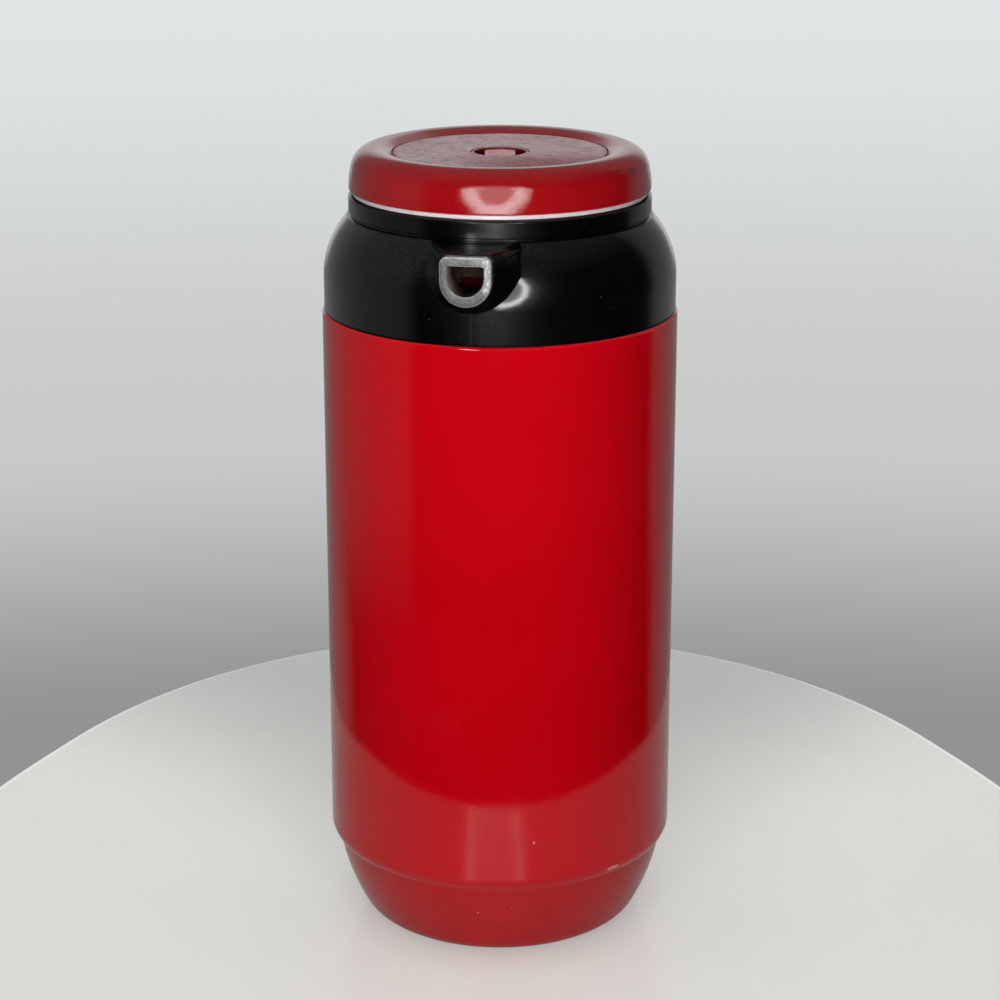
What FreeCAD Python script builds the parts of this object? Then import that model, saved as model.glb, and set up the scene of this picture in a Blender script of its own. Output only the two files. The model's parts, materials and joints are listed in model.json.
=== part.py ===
import FreeCAD, Part
import os
import math
import Sketcher

# Pump pot: glass-lined air pot with a push plate, a turning lid ring and a lift-out pump unit.
# Millimetres, +Z up, the foot on z = 0, the spout along -Y.

doc = FreeCAD.newDocument("pump_pot")
sheet = doc.addObject("Spreadsheet::Sheet", "Sheet")

# Driving dimensions: heights, radii, walls, angles and clearances that can each be set alone
SIZES = {
    "clearance": 0.3,
    "edge_round": 0.4,
    "foot_radius": 44.0,
    "foot_width": 8.0,
    "foot_groove": 5.0,
    "groove_depth": 1.2,
    "foot_spread": 8.5,
    "foot_rise": 5.3,
    "foot_round": 9.8,
    "base_height": 31.0,
    "base_floor": 4.8,
    "base_wall": 2.2,
    "base_thread": 11.2,
    "base_bulge": 77.0,
    "base_hollow": 6.0,
    "shell_seat": 0.3,
    "cushion_radius": 21.5,
    "cushion_bore": 8.0,
    "cushion_wrap": 4.4,
    "seat_wall": 2.0,
    "seat_height": 3.2,
    "body_radius": 64.0,
    "body_height": 202.0,
    "shell_wall": 1.1,
    "lip_draw": 1.9,
    "lip_rise": 4.6,
    "lip_radius": 6.5,
    "roll_radius": 1.2,
    "roll_depth": 2.0,
    "liner_gap": 8.9,
    "liner_lift": 8.2,
    "glass": 1.5,
    "vacuum": 4.5,
    "neck_radius": 25.0,
    "neck_gap": 1.5,
    "neck_stand": 4.5,
    "neck_height": 7.6,
    "neck_bend": 4.0,
    "shoulder_drop": 44.0,
    "shoulder_step": 2.0,
    "outer_shoulder": 30.0,
    "inner_shoulder": 26.0,
    "gasket_wall": 2.0,
    "gasket_skirt": 6.0,
    "throat_lap": 1.0,
    "throat_wall": 2.4,
    "throat_lift": 4.0,
    "throat_floor": 2.0,
    "curb_height": 1.5,
    "curb_width": 1.8,
    "collar_step": 0.7,
    "collar_wall": 2.2,
    "collar_skirt": 12.5,
    "collar_tail": 12.5,
    "tail_wall": 1.8,
    "tail_lead": 1.5,
    "dome_rise": 21.5,
    "dome_radius": 32.85,
    "rim_radius": 54.1,
    "rim_wall": 1.2,
    "rim_height": 6.6,
    "rim_shade": 0.6,
    "ledge_depth": 4.0,
    "ledge_width": 4.0,
    "ledge_wall": 2.2,
    "ledge_web": 2.0,
    "index_angle": 5.0,
    "index_depth": 0.9,
    "nose_overhang": 11.6,
    "nose_flange": 3.9,
    "nose_drop": 1.3,
    "nose_corner": 2.7,
    "nose_step": 1.2,
    "nose_brow": 1.9,
    "spigot_corner": 1.5,
    "spigot_length": 15.0,
    "mouth_half": 6.3,
    "mouth_height": 10.3,
    "mouth_wall": 1.3,
    "mouth_corner": 0.8,
    "beak_margin": 0.4,
    "beak_depth": 9.1,
    "beak_flare": 8.2,
    "beak_spread": 3.5,
    "beak_corner": 3.5,
    "beak_waist": 10.9,
    "beak_sink": 10.6,
    "beak_belly": 20.65,
    "plug_length": 4.0,
    "plug_cover": 1.0,
    "collet_length": 2.0,
    "pipe_radius": 4.0,
    "pipe_wall": 1.1,
    "pipe_bend": 7.0,
    "pipe_cover": 3.3,
    "riser_offset": 8.0,
    "riser_stand": 9.5,
    "sleeve_wall": 1.6,
    "sleeve_length": 15.0,
    "strainer_wall": 1.4,
    "strainer_depth": 5.0,
    "strainer_floor": 1.2,
    "strainer_grip": 8.0,
    "strainer_slot": 1.6,
    "lid_seal": 2.2,
    "seal_lap": 0.5,
    "cup_wall": 2.0,
    "outlet_bore": 6.0,
    "flap_lap": 3.0,
    "flap_wall": 0.8,
    "carrier_gap": 1.6,
    "carrier_wall": 1.9,
    "carrier_deck": 2.4,
    "flange_lift": 0.6,
    "flange_gap": 0.2,
    "flange_width": 2.9,
    "flange_height": 1.4,
    "key_angle": 8.0,
    "key_play": 2.0,
    "bellows_gap": 4.3,
    "bellows_depth": 8.0,
    "bellows_web": 2.2,
    "bellows_flange": 1.0,
    "clamp_height": 2.0,
    "clamp_gap": 0.7,
    "spring_wire": 0.6,
    "ring_inset": 0.2,
    "ring_width": 15.3,
    "ring_wall": 2.0,
    "ring_belly": 8.7,
    "ring_lean": 0.87,
    "ring_bow": 38.0,
    "ring_height": 14.6,
    "ring_shoulder": 7.6,
    "ring_slope": 11.0,
    "crest_inset": 6.4,
    "band_gap": 2.4,
    "band_lift": 0.8,
    "band_height": 4.0,
    "band_lip": 1.1,
    "claw_gap": 2.0,
    "claw_wall": 2.6,
    "claw_hook": 1.7,
    "claw_drop": 3.3,
    "claw_angle": 18.0,
    "claw_turn": 35.0,
    "claw_play": 7.0,
    "slot_gap": 0.7,
    "slot_play": 5.0,
    "boss_angle": 16.0,
    "press_stroke": 12.0,
    "floor_gap": 2.9,
    "plate_sink": 1.9,
    "plate_wall": 2.2,
    "plate_skirt": 7.5,
    "skirt_wall": 1.8,
    "hub_depth": 8.6,
    "hub_step": 1.4,
    "hub_wall": 6.7,
    "cap_wall": 1.6,
    "cap_lap": 0.6,
    "dial_radius": 10.1,
    "dial_rim": 0.8,
    "dial_shoulder": 1.5,
    "dial_sink": 0.2,
    "dial_depth": 5.8,
    "dial_stem": 4.0,
    "stem_drop": 2.8,
    "grip_half": 5.35,
    "grip_sink": 0.8,
    "clip_wall": 0.8,
    "screw_shank": 1.25,
    "screw_head": 2.3,
    "screw_cap": 1.4,
    "screw_grip": 4.6,
    "pin_shank": 0.9,
    "pin_head": 1.4,
    "pin_cap": 1.0,
}

# Levels, mating radii and shares that follow: a sum, or a sum and the share taken of it
FOLDS = 8
COILS = 3
DIAL_HEADING = 9.0  # degrees the grip bar is turned from the spout at rest
SIXTY = math.sin(math.radians(60))
FITTED = {
    "foot_inner": "foot_radius - foot_width",
    "centre_disc": "foot_inner - foot_groove",
    "body_top": "base_height + body_height",
    "body_bore": "body_radius - shell_wall",
    "shell_mouth": "body_bore - lip_draw",
    "base_spigot": "shell_mouth - clearance",
    "base_shoulder": "shell_mouth + shell_seat",
    "base_bore": "base_spigot - base_wall",
    "liner_radius": "body_bore - liner_gap",
    "liner_bore": "liner_radius - glass",
    "liner_foot": "base_floor + liner_lift",
    "liner_centre": "liner_foot + liner_radius",
    "flask_radius": "liner_bore - vacuum",
    "flask_bore": "flask_radius - glass",
    "flask_floor": "liner_centre - flask_bore",
    "neck_bore": "neck_radius - glass",
    "flask_neck": "neck_bore - neck_gap",
    "mouth_radius": "flask_neck - glass",
    "neck_top": "body_top + neck_stand",
    "neck_seal": "neck_top - glass",
    "neck_foot": "neck_top - neck_height",
    "shoulder": "neck_top - shoulder_drop",
    "flask_shoulder": "shoulder - shoulder_step",
    "flask_neck_foot": "neck_foot - inner_drop",
    "inner_drop": "outer_up - inner_up + shoulder_step",
    "glass_across": ("glass", 0.5),
    "glass_up": ("glass", SIXTY),
    "outer_across": ("outer_shoulder", 0.5),
    "outer_up": ("outer_shoulder", SIXTY),
    "inner_across": ("inner_shoulder", 0.5),
    "inner_up": ("inner_shoulder", SIXTY),
    "bend_across": ("neck_bend", 0.5),
    "bend_up": ("neck_bend", SIXTY),
    "throat_foot": "neck_top + gasket_wall",
    "throat_bore": "neck_radius + gasket_wall - throat_lap",
    "throat_radius": "throat_bore + throat_wall",
    "throat_deck": "throat_foot + throat_lift",
    "throat_top": "cup_foot - lid_seal - clearance",
    "collar_radius": "body_radius - collar_step",
    "collar_bore": "collar_radius - collar_wall",
    "collar_spigot": "body_radius - roll_depth",
    "tail_bore": "collar_spigot - tail_wall",
    "dome_foot": "body_top + collar_skirt",
    "rim_foot": "dome_foot + dome_rise + edge_round",
    "rim_top": "rim_foot + rim_height",
    "rim_bore": "rim_radius - rim_wall",
    "ledge_top": "rim_top - ledge_depth",
    "ledge_foot": "ledge_top - ledge_wall",
    "ledge_bore": "rim_bore - ledge_width",
    "nose_reach": "collar_radius + nose_overhang",
    "nose_back": "nose_reach - nose_flange",
    "nose_root": "nose_back - spigot_length",
    "nose_top": "rim_foot - nose_drop",
    "spigot_top": "nose_top - nose_brow",
    "mouth_top": "spigot_top - mouth_wall",
    "mouth_foot": "mouth_top - mouth_height",
    "mouth_middle": ("mouth_foot + mouth_top", 0.5),
    "spigot_foot": "mouth_foot - mouth_wall",
    "nose_foot": "spigot_foot - nose_step - nose_step",
    "spigot_half": "mouth_half + mouth_wall",
    "nose_half": "spigot_half + nose_step",
    "beak_root": "collar_bore - beak_depth",
    "beak_half": "nose_half + beak_margin",
    "beak_foot": "nose_foot - beak_margin",
    "beak_top": "nose_top + beak_margin",
    "beak_shoulder": "nose_half + beak_flare",
    "beak_wide": "beak_shoulder + beak_spread",
    "plug_front": "nose_root + plug_length",
    "pipe_bore": "pipe_radius - pipe_wall",
    "pipe_end": "plug_front - plug_cover",
    "bend_foot": "throat_top - pipe_radius - pipe_cover - pipe_bend",
    "sleeve_top": "bend_foot - clearance",
    "riser_foot": "flask_floor + riser_stand",
    "riser_top": "neck_top - clearance",
    "strainer_foot": "riser_foot - strainer_depth",
    "strainer_inside": "strainer_foot + strainer_floor",
    "slot_half": ("strainer_slot", 0.5),
    "cup_floor": "hub_foot - cap_wall - screw_cap - press_stroke - floor_gap",
    "cup_foot": "cup_floor - cup_wall",
    "cup_bore": "ring_bore + clearance",
    "cup_radius": "cup_bore + cup_wall",
    "deck_top": "rim_top + flange_lift",
    "deck_foot": "deck_top - carrier_deck",
    "carrier_radius": "rim_bore - carrier_gap",
    "carrier_bore": "carrier_radius - carrier_wall",
    "carrier_seat": "ledge_top + clearance",
    "flange_radius": "rim_bore - flange_gap",
    "flange_bore": "flange_radius - flange_width",
    "flange_top": "deck_top + flange_height",
    "bellows_outer": "cup_bore - bellows_gap",
    "bellows_inner": "bellows_outer - bellows_depth",
    "bellows_waist": "bellows_inner + bellows_web",
    "bellows_foot": "cup_floor + bellows_flange",
    "bellows_top": "hub_foot + hub_step - clearance",
    "fold": ("hub_foot + clearance - bellows_foot", 1.0 / FOLDS),
    "clamp_outer": "cup_bore - clamp_gap",
    "clamp_inner": "bellows_outer + clamp_gap",
    "clamp_top": "bellows_foot + clamp_height",
    "clamp_circle": ("clamp_outer + clamp_inner", 0.5),
    "spring_circle": ("bellows_inner + hub_neck", 0.5),
    "spring_height": "hub_foot - cap_wall - clearance - cup_floor - spring_wire - spring_wire",
    "spring_pitch": ("spring_height", 1.0 / COILS),
    "ring_radius": "rim_radius - ring_inset",
    "ring_bore": "ring_radius - ring_width",
    "ring_foot": "flange_top + clearance",
    "ring_girth": "ring_foot + ring_belly",
    "ring_crest": "ring_foot + ring_height",
    "ring_hollow": "ring_crest - ring_wall",
    "crest_radius": "ring_bore + crest_inset",
    "claw_outer": "ledge_bore - claw_gap",
    "claw_inner": "claw_outer - claw_wall",
    "claw_reach": "ledge_bore + claw_hook",
    "claw_foot": "ledge_foot - claw_drop",
    "claw_top": "ledge_foot - clearance",
    "band_outer": "claw_outer + band_lip",
    "band_inner": "ring_bore + ring_wall + band_gap",
    "band_middle": ("band_outer + band_inner", 0.5),
    "band_foot": "deck_top + band_lift",
    "band_top": "band_foot + band_height",
    "plate_radius": "ring_bore - clearance",
    "plate_top": "ring_crest - plate_sink",
    "plate_under": "plate_top - plate_wall",
    "skirt_bore": "plate_radius - skirt_wall",
    "skirt_foot": "plate_top - plate_skirt",
    "hub_foot": "plate_top - hub_depth",
    "hub_bore": "dial_shoulder_radius + clearance",
    "hub_neck": "hub_bore + hub_wall",
    "hub_middle": ("hub_bore + hub_neck", 0.5),
    "hub_radius": "bellows_inner + hub_step",
    "cap_foot": "hub_foot - cap_wall",
    "cap_bore": "dial_shoulder_radius - cap_lap",
    "cap_radius": "bellows_inner - hub_step",
    "dial_shoulder_radius": "dial_radius + dial_shoulder",
    "dial_hole": "dial_radius + clearance",
    "dial_well": "dial_radius - dial_rim",
    "dial_top": "plate_top - dial_sink",
    "grip_top": "dial_top - grip_sink",
    "stem_foot": "hub_foot - stem_drop",
    "clip_radius": "cap_bore + dial_shoulder",
    "clip_top": "cap_foot - clearance",
}
for row, (name, size) in enumerate(SIZES.items(), start=1):
    sheet.set("A%d" % row, name)
    sheet.set("B%d" % row, "%g" % size)
    sheet.setAlias("B%d" % row, name)
doc.recompute()


# A size is written as a short sum of names.
def amount(text):
    total = 0.0
    sign = 1.0
    for word in text.split():
        if word in "+-":
            sign = 1.0 if word == "+" else -1.0
        elif word in SIZES:
            total += sign * SIZES[word]
        elif word in FITTED:
            total_text, share = ruled(word)
            total += sign * share * amount(total_text)
        else:
            total += sign * float(word)
    return total


def ruled(word):
    rule = FITTED[word]
    return (rule, 1.0) if isinstance(rule, str) else rule


def formula(text):
    words = []
    for word in text.split():
        if word in SIZES:
            words.append("Sheet." + word)
        elif word in FITTED:
            total_text, share = ruled(word)
            words.append("((%s) * %r)" % (formula(total_text), share))
        else:
            words.append(word)
    return " ".join(words)


def bind(target, prop, text):
    target.setExpression(prop, formula(text))


# Sketches: closed loops of lines and arcs with every corner dimensioned from the sheet
def new_sketch(body, plane, lift="0", heading=0.0, shift="0"):
    sketch = body.newObject("Sketcher::SketchObject", body.Name + "_outline")
    origin = [f for f in body.Origin.OriginFeatures if f.Role == plane][0]
    sketch.AttachmentSupport = [(origin, "")]
    sketch.MapMode = "FlatFace"
    turn = FreeCAD.Rotation(FreeCAD.Vector(0, 1, 0), heading)
    outward = turn.multVec(FreeCAD.Vector(1, 0, 0))
    base = outward * amount(shift) + FreeCAD.Vector(0, 0, amount(lift))
    sketch.AttachmentOffset = FreeCAD.Placement(base, turn)
    if lift != "0":
        bind(sketch, "AttachmentOffset.Base.z", lift)
    if shift != "0":
        sketch.setExpression("AttachmentOffset.Base.x", "(%s) * %.12f" % (formula(shift), outward.x))
        sketch.setExpression("AttachmentOffset.Base.z", "(%s) * %.12f" % (formula(shift), outward.z))
    return sketch


def dimension(sketch, kind, ends, text):
    index = sketch.addConstraint(Sketcher.Constraint(kind, *ends, abs(amount(text))))
    sign = "" if amount(text) > 0 else "-"
    sketch.setExpression("Constraints[%d]" % index, "%s(%s)" % (sign, formula(text)))


def pin(sketch, geo, end, across, along):
    for kind, text, axis in (("DistanceX", across, -2), ("DistanceY", along, -1)):
        if text == "0":
            sketch.addConstraint(Sketcher.Constraint("PointOnObject", geo, end, axis))
        elif amount(text) > 0:
            dimension(sketch, kind, (-1, 1, geo, end), text)
        else:
            dimension(sketch, kind, (geo, end, -1, 1), text)


def arc_through(start, end, radius, side):
    chord = end - start
    middle = (start + end) * 0.5
    reach = math.sqrt(max(radius ** 2 - (chord.Length / 2) ** 2, 0.0))
    left = FreeCAD.Vector(-chord.y, chord.x, 0).normalize()
    centre = middle + left * reach * side
    first, last = (start, end) if side > 0 else (end, start)
    a0 = math.atan2(first.y - centre.y, first.x - centre.x)
    a1 = math.atan2(last.y - centre.y, last.x - centre.x)
    return Part.ArcOfCircle(Part.Circle(centre, FreeCAD.Vector(0, 0, 1), radius), a0, a1)


def draw(sketch, corners):
    # a corner is (across, along) or (across, along, radius, side) for an arc that ends there
    spots = [FreeCAD.Vector(amount(c[0]), amount(c[1]), 0) for c in corners]
    edges = []
    for i, corner in enumerate(corners):
        start = spots[i - 1]
        end = spots[i]
        if len(corner) == 2:
            edges.append((sketch.addGeometry(Part.LineSegment(start, end)), 1, 2))
            continue
        arc = sketch.addGeometry(arc_through(start, end, amount(corner[2]), corner[3]))
        edges.append((arc, 1, 2) if corner[3] > 0 else (arc, 2, 1))
    for (geo, head, tail), (after, start, finish) in zip(edges, edges[1:] + edges[:1]):
        sketch.addConstraint(Sketcher.Constraint("Coincident", geo, tail, after, start))
    for (geo, head, tail), corner in zip(edges, corners):
        pin(sketch, geo, tail, corner[0], corner[1])
        if len(corner) == 4:
            dimension(sketch, "Radius", (geo,), corner[2])
    return sketch


def circle(sketch, across, along, radius):
    spot = FreeCAD.Vector(amount(across), amount(along), 0)
    geo = sketch.addGeometry(Part.Circle(spot, FreeCAD.Vector(0, 0, 1), amount(radius)))
    pin(sketch, geo, 3, across, along)
    dimension(sketch, "Radius", (geo,), radius)
    return sketch


def box(left, foot, right, top):
    return [(left, foot), (right, foot), (right, top), (left, top)]


# Sub-parts
NODES = []
THIRDS = (90.0, 210.0, 330.0)
BETWEEN = (30.0, 150.0, 270.0)


def new_body(label):
    body = doc.addObject("PartDesign::Body", label)
    body.Label = label
    NODES.append(body)
    return body


def spin(body, kind, corners, angle="360", heading=0.0, shift="0"):
    sketch = draw(new_sketch(body, "XZ_Plane", heading=heading, shift=shift), corners)
    return revolve(body, kind, sketch, angle)


def revolve(body, kind, sketch, angle):
    feature = body.newObject("PartDesign::" + kind, body.Name + "_" + kind.lower())
    feature.Profile = sketch
    feature.ReferenceAxis = (sketch, ["V_Axis"])
    feature.Angle = amount(angle)
    bind(feature, "Angle", angle)
    feature.Midplane = angle != "360"
    body.Tip = feature
    doc.recompute()
    return feature


def turned(label, corners):
    body = new_body(label)
    spin(body, "Revolution", corners)
    return body


def push(body, kind, sketch, length, reverse=False):
    feature = body.newObject("PartDesign::" + kind, body.Name + "_" + kind.lower())
    feature.Profile = sketch
    feature.Length = amount(length)
    bind(feature, "Length", length)
    feature.Reversed = reverse
    body.Tip = feature
    doc.recompute()
    return feature


# Spout outlines: flat top with rounded corners, half-round bottom
def dee(body, lift, half, foot, top, corner):
    waist = foot + " + " + half
    shoulder = top + " - " + corner
    brow = half + " - " + corner
    return draw(new_sketch(body, "XZ_Plane", lift=lift), [
        (half, shoulder),
        (brow, top, corner, 1),
        ("- " + half + " + " + corner, top),
        ("- " + half, shoulder, corner, 1),
        ("- " + half, waist),
        ("0", foot, half, 1),
        (half, waist, half, 1),
    ])


# Delivery pipe path: up out of the mouth, round a bend, then forward to the nose
def pipe_path(body):
    sketch = new_sketch(body, "YZ_Plane")
    radius = amount("pipe_bend")
    foot = FreeCAD.Vector(-amount("riser_offset"), amount("neck_top"), 0)
    bend_in = FreeCAD.Vector(foot.x, amount("bend_foot"), 0)
    centre = bend_in - FreeCAD.Vector(radius, 0, 0)
    end = FreeCAD.Vector(-amount("pipe_end"), amount("mouth_middle"), 0)
    sight = end - centre
    swing = math.atan2(sight.y, sight.x) - math.acos(radius / sight.Length)
    bend_out = centre + FreeCAD.Vector(math.cos(swing), math.sin(swing), 0) * radius
    rise = sketch.addGeometry(Part.LineSegment(foot, bend_in))
    bend = sketch.addGeometry(arc_through(bend_in, bend_out, radius, 1))
    run = sketch.addGeometry(Part.LineSegment(bend_out, end))
    sketch.addConstraint(Sketcher.Constraint("Vertical", rise))
    sketch.addConstraint(Sketcher.Constraint("Tangent", rise, 2, bend, 1))
    sketch.addConstraint(Sketcher.Constraint("Tangent", bend, 2, run, 1))
    pin(sketch, rise, 1, "- riser_offset", "neck_top")
    dimension(sketch, "DistanceY", (-1, 1, rise, 2), "bend_foot")
    dimension(sketch, "Radius", (bend,), "pipe_bend")
    pin(sketch, run, 2, "- pipe_end", "mouth_middle")
    return sketch


def along_pipe(body, kind, radius):
    path = pipe_path(body)
    ring = circle(new_sketch(body, "XY_Plane", lift="neck_top"), "0", "- riser_offset", radius)
    feature = body.newObject("PartDesign::" + kind, body.Name + "_" + kind.lower())
    feature.Profile = ring
    feature.Spine = (path, [])
    body.Tip = feature
    doc.recompute()
    return feature


# Base cap, screwed into the foot of the body shell; flat underneath with one round groove
turned("base_cap", [
    ("0", "0"),
    ("centre_disc", "0"),
    ("centre_disc", "groove_depth"),
    ("foot_inner", "groove_depth"),
    ("foot_inner", "0"),
    ("foot_radius", "0"),
    ("foot_radius + foot_spread", "foot_rise", "foot_round", 1),
    ("base_shoulder", "base_height", "base_bulge", 1),
    ("base_spigot", "base_height"),
    ("base_spigot", "base_height + base_thread"),
    ("base_bore", "base_height + base_thread"),
    ("base_bore", "base_height - shell_wall"),
    ("foot_radius + base_hollow", "base_floor + base_wall"),
    ("foot_radius", "base_floor"),
    ("cushion_radius + seat_wall", "base_floor"),
    ("cushion_radius + seat_wall", "base_floor + seat_height"),
    ("cushion_radius", "base_floor + seat_height"),
    ("cushion_radius", "base_floor"),
    ("0", "base_floor"),
])

# Body shell: painted steel tube, drawn in at the foot and rolled in at the top
turned("body_shell", [
    ("shell_mouth", "base_height"),
    ("body_radius - lip_draw", "base_height"),
    ("body_radius", "base_height + lip_rise", "lip_radius", 1),
    ("body_radius", "body_top - roll_radius"),
    ("body_radius - roll_radius", "body_top", "roll_radius", 1),
    ("collar_spigot", "body_top"),
    ("collar_spigot", "body_top - shell_wall"),
    ("body_bore", "body_top - shell_wall - shell_wall"),
    ("body_bore", "base_height + lip_rise"),
    ("shell_mouth", "base_height + edge_round", "lip_radius - shell_wall", -1),
])

# Liner: two glass flasks sealed together at the lip, on a rubber cushion
cushion = turned("liner_cushion", box(
    "cushion_bore", "base_floor", "cushion_radius", "liner_foot + cushion_wrap"))
spin(cushion, "Groove", [
    ("0", "liner_foot"),
    ("liner_radius", "liner_centre", "liner_radius", 1),
    ("0", "liner_centre"),
])
turned("liner_outer", [
    ("0", "liner_foot"),
    ("liner_radius", "liner_centre", "liner_radius", 1),
    ("liner_radius", "shoulder"),
    ("liner_radius - outer_across", "shoulder + outer_up", "outer_shoulder", 1),
    ("neck_radius + bend_across", "neck_foot - bend_up"),
    ("neck_radius", "neck_foot", "neck_bend", -1),
    ("neck_radius", "neck_seal"),
    ("neck_bore", "neck_seal"),
    ("neck_bore", "neck_foot"),
    ("neck_radius + bend_across - glass_across", "neck_foot - bend_up - glass_up",
     "neck_bend + glass", 1),
    ("liner_radius - outer_across - glass_across", "shoulder + outer_up - glass_up"),
    ("liner_bore", "shoulder", "outer_shoulder - glass", -1),
    ("liner_bore", "liner_centre"),
    ("0", "liner_foot + glass", "liner_bore", -1),
])
turned("liner_inner", [
    ("0", "flask_floor - glass"),
    ("flask_radius", "liner_centre", "flask_radius", 1),
    ("flask_radius", "flask_shoulder"),
    ("flask_radius - inner_across", "flask_shoulder + inner_up", "inner_shoulder", 1),
    ("flask_neck + bend_across", "flask_neck_foot - bend_up"),
    ("flask_neck", "flask_neck_foot", "neck_bend", -1),
    ("flask_neck", "neck_seal"),
    ("neck_radius", "neck_seal"),
    ("neck_radius", "neck_top - edge_round"),
    ("neck_radius - edge_round", "neck_top", "edge_round", 1),
    ("mouth_radius + edge_round", "neck_top"),
    ("mouth_radius", "neck_top - edge_round", "edge_round", 1),
    ("mouth_radius", "flask_neck_foot"),
    ("flask_neck + bend_across - glass_across", "flask_neck_foot - bend_up - glass_up",
     "neck_bend + glass", 1),
    ("flask_radius - inner_across - glass_across", "flask_shoulder + inner_up - glass_up"),
    ("flask_bore", "flask_shoulder", "inner_shoulder - glass", -1),
    ("flask_bore", "liner_centre"),
    ("0", "flask_floor", "flask_bore", -1),
])
turned("neck_gasket", [
    ("neck_radius", "neck_top - gasket_skirt"),
    ("neck_radius + gasket_wall", "neck_top - gasket_skirt"),
    ("neck_radius + gasket_wall", "throat_foot"),
    ("mouth_radius", "throat_foot"),
    ("mouth_radius", "neck_top"),
    ("neck_radius", "neck_top"),
])

# Throat ring: the deck inside the collar, with the chimney that the pump unit seals on
throat = turned("throat_ring", [
    ("throat_bore", "throat_foot"),
    ("throat_radius", "throat_foot"),
    ("throat_radius", "throat_deck - throat_floor"),
    ("collar_bore", "throat_deck - throat_floor"),
    ("collar_bore", "throat_deck + curb_height"),
    ("collar_bore - curb_width", "throat_deck + curb_height"),
    ("collar_bore - curb_width", "throat_deck"),
    ("throat_radius", "throat_deck"),
    ("throat_radius", "throat_top"),
    ("throat_bore", "throat_top"),
])
along_pipe(throat, "SubtractivePipe", "pipe_radius")

# Collar: dome, rim, inner ledge and spout beak in one moulding
collar = turned("collar", [
    ("tail_bore", "body_top - collar_tail"),
    ("collar_spigot", "body_top - collar_tail"),
    ("collar_spigot", "body_top"),
    ("collar_radius", "body_top"),
    ("collar_radius", "dome_foot"),
    ("rim_radius + rim_shade", "rim_foot - edge_round", "dome_radius", 1),
    ("rim_radius - rim_shade", "rim_foot"),
    ("rim_radius - rim_shade", "rim_foot + rim_shade"),
    ("rim_radius", "rim_foot + rim_shade + edge_round"),
    ("rim_radius", "rim_top - edge_round"),
    ("rim_radius - edge_round", "rim_top", "edge_round", 1),
    ("rim_bore", "rim_top"),
    ("rim_bore", "ledge_top"),
    ("ledge_bore", "ledge_top"),
    ("ledge_bore", "ledge_foot"),
    ("ledge_bore + ledge_web", "ledge_foot"),
    ("collar_bore", "dome_foot", "dome_radius - collar_wall", -1),
    ("collar_bore", "body_top + tail_lead"),
    ("tail_bore", "body_top"),
])
beak_front = dee(collar, "nose_back", "beak_half", "beak_foot", "beak_top", "nose_corner")
beak_back = draw(new_sketch(collar, "XZ_Plane", lift="beak_root"), [
    ("beak_shoulder", "rim_foot - beak_corner"),
    ("beak_shoulder - beak_corner", "rim_foot", "beak_corner", 1),
    ("- beak_shoulder + beak_corner", "rim_foot"),
    ("- beak_shoulder", "rim_foot - beak_corner", "beak_corner", 1),
    ("- beak_wide", "rim_foot - beak_waist"),
    ("0", "nose_foot - beak_sink", "beak_belly", 1),
    ("beak_wide", "rim_foot - beak_waist", "beak_belly", 1),
])
beak = collar.newObject("PartDesign::AdditiveLoft", "beak")
beak.Profile = beak_back
beak.Sections = [beak_front]
beak.Ruled = True
collar.Tip = beak
doc.recompute()
spin(collar, "Groove", [
    ("0", "body_top"),
    ("tail_bore", "body_top"),
    ("collar_bore", "body_top + tail_lead"),
    ("collar_bore", "dome_foot"),
    ("ledge_bore + ledge_web", "ledge_foot", "dome_radius - collar_wall", 1),
    ("0", "ledge_foot"),
])
channel = dee(collar, "nose_reach", "spigot_half", "spigot_foot", "spigot_top", "spigot_corner")
push(collar, "Pocket", channel, "nose_reach - beak_root + collet_length")
ledge_cut = box("ledge_bore - ledge_web", "ledge_foot - clearance", "rim_bore", "ledge_top + clearance")
for heading in THIRDS:
    spin(collar, "Groove", ledge_cut, "claw_angle + claw_play", heading)
spin(collar, "Groove", ledge_cut, "key_angle + key_play", 270.0)
index_notch = box(
    "rim_bore - rim_wall", "rim_top - index_depth", "rim_bore + rim_shade", "rim_top + index_depth")
spin(collar, "Groove", index_notch, "index_angle", 270.0)

# Nose: clear D-shaped mouthpiece in the beak
nose = new_body("spout_nose")
flange = dee(nose, "nose_reach", "nose_half", "nose_foot", "nose_top", "nose_corner")
push(nose, "Pad", flange, "nose_flange", reverse=True)
spigot = dee(nose, "nose_back", "spigot_half", "spigot_foot", "spigot_top", "spigot_corner")
push(nose, "Pad", spigot, "spigot_length", reverse=True)
bore = dee(nose, "nose_reach", "mouth_half", "mouth_foot", "mouth_top", "mouth_corner")
push(nose, "Pocket", bore, "nose_flange + spigot_length + mouth_wall")

# Rubber gasket between the nose and the delivery pipe
gasket = new_body("spout_gasket")
plug = dee(gasket, "plug_front", "mouth_half", "mouth_foot", "mouth_top", "mouth_corner")
push(gasket, "Pad", plug, "plug_length", reverse=True)
collet = dee(gasket, "nose_root", "spigot_half", "spigot_foot", "spigot_top", "spigot_corner")
push(gasket, "Pad", collet, "collet_length", reverse=True)
along_pipe(gasket, "SubtractivePipe", "pipe_radius")

# Delivery pipe, riser tube, sleeve and strainer
pipe = new_body("delivery_pipe")
along_pipe(pipe, "AdditivePipe", "pipe_radius")
along_pipe(pipe, "SubtractivePipe", "pipe_bore")


def upright_tube(label, corners):
    body = new_body(label)
    sketch = new_sketch(body, "YZ_Plane")
    bind(sketch, "AttachmentOffset.Base.x", "- riser_offset")
    revolve(body, "Revolution", draw(sketch, corners), "360")
    return body


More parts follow.
